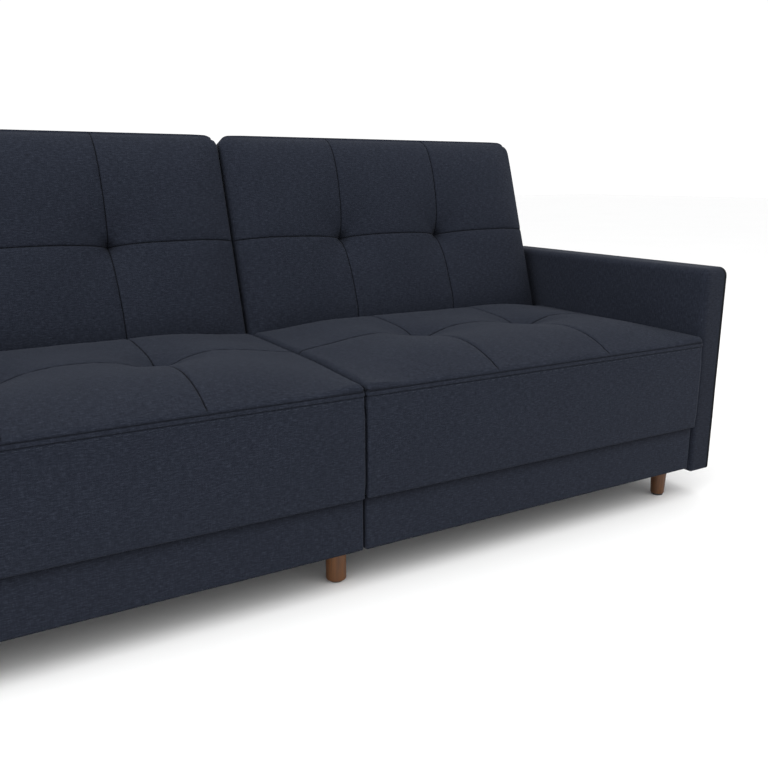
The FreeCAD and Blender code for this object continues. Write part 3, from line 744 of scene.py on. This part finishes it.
# ------------------------------------------------------------------ stitches
def stitch_row(name, start, end, normal, length, gap, width, body, seed):
    """A straight run of separate stitches, each a short half-round thread that dives in at its ends."""
    a, b, n = Vector(start), Vector(end), Vector(normal).normalized()
    t = (b - a).normalized()
    s = t.cross(n)
    total = (b - a).length
    bm = bmesh.new()
    rng = np.random.default_rng(seed)
    pos = 0.0
    ring = 7
    prof = [(math.cos(math.pi * i / (ring - 1)), math.sin(math.pi * i / (ring - 1))) for i in range(ring)]
    while pos + length < total:
        ln = length * rng.uniform(0.92, 1.06)
        off = rng.uniform(-0.0002, 0.0002)
        rows = []
        for q in range(9):
            f = q / 8
            c = a + t * (pos + ln * f) + s * off
            k = math.sin(math.pi * f) ** 0.45 if 0 < f < 1 else 0.0
            rows.append([bm.verts.new(c + s * (width / 2 * (0.5 + 0.5 * k) * cx) + n * (width * 0.62 * k * cy - width * 0.12)) for cx, cy in prof])
        for r0, r1 in zip(rows, rows[1:]):
            for i in range(ring - 1):
                bm.faces.new((r0[i], r0[i + 1], r1[i + 1], r1[i]))
            bm.faces.new((r0[ring - 1], r0[0], r1[0], r1[ring - 1]))
        bm.faces.new(list(reversed(rows[0])))
        bm.faces.new(rows[-1])
        pos += ln + gap
    bmesh.ops.recalc_face_normals(bm, faces=bm.faces)
    me = bpy.data.meshes.new(name)
    bm.to_mesh(me)
    bm.free()
    me.materials.append(THREAD)
    me.shade_smooth()
    o = bpy.data.objects.new(name, me)
    scene.collection.objects.link(o)
    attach(o, body)
    return o


for side, sx in SIDES:
    g = build_seat(side, sx, 11 if sx > 0 else 37)
    zs_ = SEAM_Z - 0.0118
    ends = (g["x0"] + 0.012, g["x1"] - 0.012)
    xa, xb = (ends[0], ends[1]) if sx > 0 else (-ends[1], -ends[0])
    stitch_row(side + "_seat_topstitch", (xa, g["y0"], zs_), (xb, g["y0"], zs_), (0, -1, 0), 0.0094, 0.0072, 0.0013, "base", 5)


# ------------------------------------------------------------------ backs
def back_axes():
    j = [q for q in frame["record"]["behaviour"]["joints"] if q["name"] == "right_back_recline"][0]
    p = np.array([0.0, j["pos_m"][1], j["pos_m"][2]])
    th = math.radians(90.0 - j["range_deg"][1])
    u = np.array([0.0, math.sin(th), math.cos(th)])
    n = np.array([0.0, math.cos(th), -math.sin(th)])
    return p, u, n


PIV, AX_U, AX_N = back_axes()
FACE = 0.045
BACK_T = 0.120
BACK_S0, BACK_S1 = -0.010, 0.510
SLOTS = ((0.038, 0.064), (0.821, 0.847))      # where the fixed hinge arms pass into the foot of the back


def to_world(c):
    """(x, s, out of the front face) to world coordinates."""
    return PIV[None, :] + np.outer(c[:, 0], [1, 0, 0]) + np.outer(c[:, 1], AX_U) + np.outer(-c[:, 2] - FACE, AX_N)


def cut_boxes(o, boxes):
    """Takes boxes (lo, hi) out of a closed piece."""
    bm = bmesh.new()
    for lo, hi in boxes:
        r = bmesh.ops.create_cube(bm, size=1.0)
        for v in r["verts"]:
            v.co = Vector([lo[i] if v.co[i] < 0 else hi[i] for i in range(3)])
    bmesh.ops.recalc_face_normals(bm, faces=bm.faces)
    me = bpy.data.meshes.new("cutter")
    bm.to_mesh(me)
    bm.free()
    me.materials.append(NAVY)
    cutter = bpy.data.objects.new("cutter", me)
    scene.collection.objects.link(cutter)
    m = o.modifiers.new("cut", "BOOLEAN")
    m.operation = "DIFFERENCE"
    m.solver = "EXACT"
    m.object = cutter
    apply_modifiers(o)
    bpy.data.objects.remove(cutter)
    bpy.data.meshes.remove(me)


def build_back(side, sx, seed):
    lo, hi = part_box(side + "_back_cushion")
    x0, x1 = (lo[0], hi[0]) if sx > 0 else (-hi[0], -lo[0])
    s0, s1 = BACK_S0, BACK_S1
    seams_x = [x0 + (x1 - x0) / 3 - (0.006 if sx < 0 else 0.0), x0 + 2 * (x1 - x0) / 3]
    seam_y = 0.249
    tufts = [(s, seam_y) for s in seams_x]
    top = 0.0

    def height(x, y):
        ex = np.clip(np.minimum(x - x0, x1 - x), 0, None)
        el, eh = np.clip(y - s0, 0, None), np.clip(s1 - y, 0, None)
        soft = lambda d, l, p: 1 - np.clip(1 - d / l, 0, 1) ** p
        rise = soft(ex, 0.105, 2.2) * soft(eh, 0.115, 2.2) * soft(el, 0.095, 2.0)
        h = 0.0265 * rise
        for tx, ty in tufts:
            r = np.sqrt((x - tx) ** 2 + (y - ty) ** 2 + 0.004 ** 2)
            h = h - 0.046 * np.exp(-(r / 0.050) ** 0.92)
        for s in seams_x:
            h = h - 0.0015 * rise * np.exp(-np.abs(x - s) / 0.028)
        h = h - 0.0015 * rise * np.exp(-np.abs(y - seam_y) / 0.028)
        return h - 0.012 * np.clip(1 - eh / 0.045, 0, 1) ** 2

    swell = swelling(side + "_back", (x0, x1, s0, s1), -BACK_T, top, height, seams_x, seam_y, tufts, 3.4, 0.012)
    welt = 0.0165          # the rear panel is sewn in this far from the edge
    xs = spaced(x0, x1, 0.0075, seams_x + [x0 + welt, x1 - welt], EDGE[1:7], EDGE[1:7])
    ys = spaced(s0, s1, 0.0075, [seam_y, s0 + welt, s1 - welt], EDGE[1:7], EDGE[1:7])
    zs = spaced(-BACK_T, top, 0.0085, [], EDGE[2:6], EDGE[1:])
    flat, faces = box_grid(xs, ys, zs)
    c = rounded(flat, (x0, s0, -BACK_T), (x1, s1, top), (0.009, 0.012, 0.007), (0.009, 0.015, 0.012))
    # the head's corners in the outline
    r = 0.031
    cx = np.clip(c[:, 0], x0 + r, x1 - r)
    cy = np.minimum(c[:, 1], s1 - r)
    dx, dy = c[:, 0] - cx, c[:, 1] - cy
    m = np.maximum(np.abs(dx), np.abs(dy))
    l = np.hypot(dx, dy)
    k = np.where(l > 1e-9, m / np.maximum(l, 1e-9), 1.0)
    c[:, 0], c[:, 1] = cx + dx * k, cy + dy * k
    px, py = c[:, 0].copy(), c[:, 1].copy()
    face = flat[:, 2] > top - 1e-7
    w = smooth((c[:, 2] - (top - 0.014)) / 0.013)
    ex = np.minimum(px - x0, x1 - px)
    ey = np.minimum(py - s0, s1 - py)
    rim = np.minimum(ex, ey)
    c[:, 2] += height(px, py) * w
    sw = swell(px, py)
    c += sw * (w * face)[:, None]
    n = value_noise(c, 0.13, seed) + 0.5 * value_noise(c, 0.06, seed + 1)
    c[:, 2] += np.where(face, n * 0.0010 * smooth(rim / 0.04), 0)
    # the head is plump between its corners
    topf = flat[:, 1] > s1 - 1e-7
    plump = 0.0038 * np.clip(1 - ((flat[:, 2] + BACK_T / 2) / (BACK_T / 2)) ** 2, 0, 1)
    c[:, 1] += np.where(topf, plump * smooth(ex / 0.07), 0)
    # sewn lines run over the rounded edge and down the side of the cushion
    d = seam_distance(px, py, seams_x, seam_y)
    near = np.full(len(c), 1e9)
    for tx, ty in tufts:
        near = np.minimum(near, np.hypot(px - tx, py - ty))
    g = groove(d, 0.0030, 0.0013) * w
    c[:, 2] += np.where(face, g + (puckers(px, py, seams_x, seam_y, seed + 20, 0.0006) + tuft_folds(px, py, tufts, seed + 40)
                                   - 0.0060 * np.exp(-(near / 0.0085) ** 2)) * w, g * 0.6)
    # painted shade: darkens the cloth along the seams, at each tuft and in a wider soft patch round it
    painted_shade = np.maximum(np.maximum(painted_shade_of(d, 0.0012), 0.8 * np.exp(-(near / 0.004) ** 2)), 0.55 * np.exp(-(near / 0.0150) ** 2)) * w * np.where(face, 1.0, 0.8)
    # the rear panel's welt
    rear = flat[:, 2] < -BACK_T + 1e-7
    ring = np.minimum(np.minimum(np.abs(flat[:, 0] - x0 - welt), np.abs(flat[:, 0] - x1 + welt)) + 10 * ((flat[:, 1] < s0 + welt - 1e-6) | (flat[:, 1] > s1 - welt + 1e-6)),
                      np.minimum(np.abs(flat[:, 1] - s0 - welt), np.abs(flat[:, 1] - s1 + welt)) + 10 * ((flat[:, 0] < x0 + welt - 1e-6) | (flat[:, 0] > x1 - welt + 1e-6)))
    inside = np.minimum(np.minimum(flat[:, 0] - x0, x1 - flat[:, 0]), np.minimum(flat[:, 1] - s0, s1 - flat[:, 1])) - welt
    c[:, 2] += np.where(rear, 0.0022 * np.exp(-np.abs(ring) / 0.0012) - 0.0012 * smooth(inside / 0.05) + n * 0.0006 * smooth(inside / 0.02), 0)
    # painted shade: a dark line along the rear panel's welt seam
    painted_shade = np.maximum(painted_shade, np.where(rear, 0.85 * painted_shade_of(ring), 0))
    if sx < 0:
        # hand-sewn: this seam leans toward the join lower down
        c[:, 0] -= 0.0050 * np.clip((seam_y - py) / 0.26, -1, 1) * np.exp(-((px - seams_x[0]) / 0.10) ** 2)
    o = make_object(side + "_back_upholstery", c, faces, NAVY)
    set_painted_shade(o, painted_shade)
    cut_boxes(o, [((a, s0 - 0.03, -BACK_T - 0.03), (b, 0.036, -0.015)) for a, b in SLOTS])
    c = coords(o)
    if sx < 0:
        c[:, 0] = -c[:, 0]
    set_coords(o, to_world(c))
    bm = bmesh.new()
    bm.from_mesh(o.data)
    bmesh.ops.recalc_face_normals(bm, faces=bm.faces)
    bm.to_mesh(o.data)
    bm.free()
    o.data.shade_smooth()
    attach(o, side + "_back")
    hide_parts(side + "_back_cushion", side + "_back_rear_panel")


for side, sx in SIDES:
    build_back(side, sx, 61 if sx > 0 else 83)


# ------------------------------------------------------------------ arms
def build_arm(side, sx, seed):
    lo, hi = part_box(side + "_arm_cover")
    x0, x1 = (lo[0], hi[0]) if sx > 0 else (-hi[0], -lo[0])
    y0, y1, z0, z1 = lo[1], hi[1], lo[2], hi[2]
    # side profile: a loop of points round the slab, with grid rings inwards on both faces
    rt, rb = 0.021, 0.006

    def profile(inset):
        pts = []
        a0, a1, b0, b1 = y0 + inset, y1 - inset, z0 + inset, z1 - inset
        rt_, rb_ = max(rt - inset, 0.004), max(rb - inset, 0.003)

        def arc(cy, cz, r, t0, t1, n):
            for i in range(n):
                t = t0 + (t1 - t0) * i / n
                pts.append((cy + r * math.cos(t), cz + r * math.sin(t)))

        def line(p, q, n):
            for i in range(n):
                f = i / n
                pts.append((p[0] + (q[0] - p[0]) * f, p[1] + (q[1] - p[1]) * f))

        line((a0, b0 + rb_), (a0, b1 - rt_), 60)
        arc(a0 + rt_, b1 - rt_, rt_, math.pi, math.pi / 2, 14)
        line((a0 + rt_, b1), (a1 - rt_, b1), 90)
        arc(a1 - rt_, b1 - rt_, rt_, math.pi / 2, 0, 14)
        line((a1, b1 - rt_), (a1, b0 + rb_), 60)
        arc(a1 - rb_, b0 + rb_, rb_, 0, -math.pi / 2, 10)
        line((a1 - rb_, b0), (a0 + rb_, b0), 90)
        arc(a0 + rb_, b0 + rb_, rb_, -math.pi / 2, -math.pi, 10)
        return pts

    e_out, e_in = 0.0038, 0.0160          # a crisp welted outer edge and a softer inner one
    face_rings = (0.19, 0.16, 0.13, 0.10, 0.075, 0.055, 0.038, 0.026, 0.0165, 0.0140, 0.0125, 0.0112)
    rings = [(x1, i) for i in face_rings] + [(x1, i) for i in (0.0098, 0.0075, 0.0055)]
    rings += [(x1 - e_out + e_out * math.cos(a), e_out - e_out * math.sin(a)) for a in [math.radians(15 * k) for k in range(0, 7)]]
    rings += [(x1 - e_out - 0.0018, 0.0), (x1 - e_out - 0.0036, 0.0), (x1 - e_out - 0.0054, 0.0), (x1 - e_out - 0.0068, 0.0)]
    rings += [(x1 - e_out - 0.0068 - (x1 - x0 - e_out - 0.0068 - e_in) * k / 8, 0.0) for k in range(1, 8)]
    rings += [(x0 + e_in - e_in * math.cos(a), e_in - e_in * math.sin(a)) for a in [math.radians(10 * k) for k in range(9, -1, -1)]]
    rings += [(x0, i) for i in reversed(face_rings[:8])]
    verts, faces, painted_shade = [], [], []
    loops = []
    for x, inset in rings:
        pr = profile(inset)
        loops.append(range(len(verts), len(verts) + len(pr)))
        seam = 0.0014 * math.exp(-((inset - 0.0112) / 0.0011) ** 2) if x > (x0 + x1) / 2 and inset > 0.001 else 0.0
        sign = -1 if x > (x0 + x1) / 2 else 1
        for (py, pz) in pr:
            verts.append((x + sign * seam, py, pz))
            # painted shade: a dark band on the welted outer edge, and darkening along the sewn seam line
            edge = 0.95 * math.exp(-(max(0.0, x1 - x - 0.0092) / 0.0010) ** 2) if inset < e_out + 1e-6 else 0.0
            shade = 0.15 * math.exp(-((py - y0) / 0.010) ** 2)      # the front strip is in the arm's own shade
            painted_shade.append(max(edge, min(1.0, seam / 0.0014), shade))
    n = len(loops[0])
    for l0, l1 in zip(loops, loops[1:]):
        for i in range(n):
            j = (i + 1) % n
            faces.append((l0[i], l0[j], l1[j], l1[i]))
    for loop, rev in ((loops[0], True), (loops[-1], False)):
        ring = list(loop)
        faces.append(tuple(reversed(ring)) if rev else tuple(ring))
    v = np.array(verts)
    nz = value_noise(v, 0.16, seed) + 0.5 * value_noise(v, 0.07, seed + 1)
    dx = np.where(v[:, 0] > (x0 + x1) / 2, 1.0, -1.0)
    v[:, 0] += dx * nz * 0.0007
    puff = smooth(np.minimum(np.minimum(v[:, 1] - y0, y1 - v[:, 1]), np.minimum(v[:, 2] - z0, z1 - v[:, 2])) / 0.10)
    v[:, 0] += dx * puff * 0.0015
    if sx < 0:
        v[:, 0] = -v[:, 0]
        faces = [tuple(reversed(f)) for f in faces]
    o = make_object(side + "_arm_upholstery", v, faces, NAVY)
    set_painted_shade(o, np.array(painted_shade))
    bm = bmesh.new()
    bm.from_mesh(o.data)
    big = [f for f in bm.faces if len(f.verts) > 4]
    bmesh.ops.triangulate(bm, faces=big)
    bmesh.ops.recalc_face_normals(bm, faces=bm.faces)
    bm.to_mesh(o.data)
    bm.free()
    o.data.shade_smooth()
    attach(o, "base")
    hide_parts(side + "_arm_cover")
    return o


for side, sx in SIDES:
    build_arm(side, sx, 101 if sx > 0 else 131)


# ------------------------------------------------------------------ plinth skins
def build_plinth(side, sx, seed):
    lo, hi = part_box(side + "_base_cover")
    x0, x1 = (lo[0], hi[0]) if sx > 0 else (-hi[0], -lo[0])
    y0, y1, z0, z1 = lo[1], hi[1], lo[2], hi[2]
    t = 0.003

    def loop(inset, z, r):
        pts = []
        a0, a1, b0, b1 = x0 + inset, x1 - inset, y0 + inset, y1 - inset
        r = max(r - inset, 0.0012)
        def arc(cx, cy, t0, n=7):
            for i in range(n + 1):
                a = math.radians(t0 + 90 * i / n)
                pts.append((cx + r * math.cos(a), cy + r * math.sin(a), z))
        def line(p, q, n):
            for i in range(1, n):
                f = i / n
                pts.append((p[0] + (q[0] - p[0]) * f, p[1] + (q[1] - p[1]) * f, z))
        arc(a1 - r, b1 - r, 0)
        line((a1 - r, b1), (a0 + r, b1), 70)
        arc(a0 + r, b1 - r, 90)
        line((a0, b1 - r), (a0, b0 + r), 56)
        arc(a0 + r, b0 + r, 180)
        line((a0 + r, b0), (a1 - r, b0), 70)
        arc(a1 - r, b0 + r, 270)
        line((a1, b0 + r), (a1, b1 - r), 56)
        return pts

    rows = [(t, z0 + 0.0004), (t * 0.5, z0), (0.0012, z0 + 0.0004), (0.0003, z0 + 0.0016), (0, z0 + 0.0035)]
    k = 12
    rows += [(0, z0 + 0.0035 + (z1 - z0 - 0.0150) * i / k) for i in range(1, k + 1)]
    rows += [(0, z1 - q) for q in (0.0090, 0.0065, 0.0045)]
    rows += [(0.0004, z1 - 0.0028), (0.0012, z1 - 0.0012), (t * 0.6, z1 - 0.0004), (t, z1 - 0.0004)]
    rows += [(t, z1 - 0.0004 - (z1 - z0 - 0.0008) * i / 6) for i in range(1, 6)]
    verts, faces, loops = [], [], []
    for inset, z in rows:
        pr = loop(inset, z, 0.005)
        loops.append(range(len(verts), len(verts) + len(pr)))
        verts.extend(pr)
    n = len(loops[0])
    for a in range(len(loops)):
        l0, l1 = loops[a], loops[(a + 1) % len(loops)]
        for i in range(n):
            j = (i + 1) % n
            faces.append((l0[i], l0[j], l1[j], l1[i]))
    v = np.array(verts)
    nz = value_noise(v, 0.15, seed)
    fr = v[:, 1] < y0 + 0.0005
    v[:, 1] -= np.where(fr, (nz * 0.5 + 0.5) * 0.0008, 0)
    if sx < 0:
        v[:, 0] = -v[:, 0]
    o = make_object(side + "_plinth_upholstery", v, faces, NAVY)
    # painted shadow: darker towards the top, where the seat overhangs the plinth, and painted shade on the bottom
    # rounded edge
    set_painted_shade(o, np.maximum(0.60 * np.clip(1 - (z1 - v[:, 2]) / 0.032, 0, 1) ** 1.7, 0.8 * np.exp(-((v[:, 2] - z0) / 0.0020) ** 2)))
    bm = bmesh.new()
    bm.from_mesh(o.data)
    bmesh.ops.recalc_face_normals(bm, faces=bm.faces)
    bm.to_mesh(o.data)
    bm.free()
    o.data.shade_smooth()
    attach(o, "base")
    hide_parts(side + "_base_cover")
    return o


for side, sx in SIDES:
    build_plinth(side, sx, 151 if sx > 0 else 171)
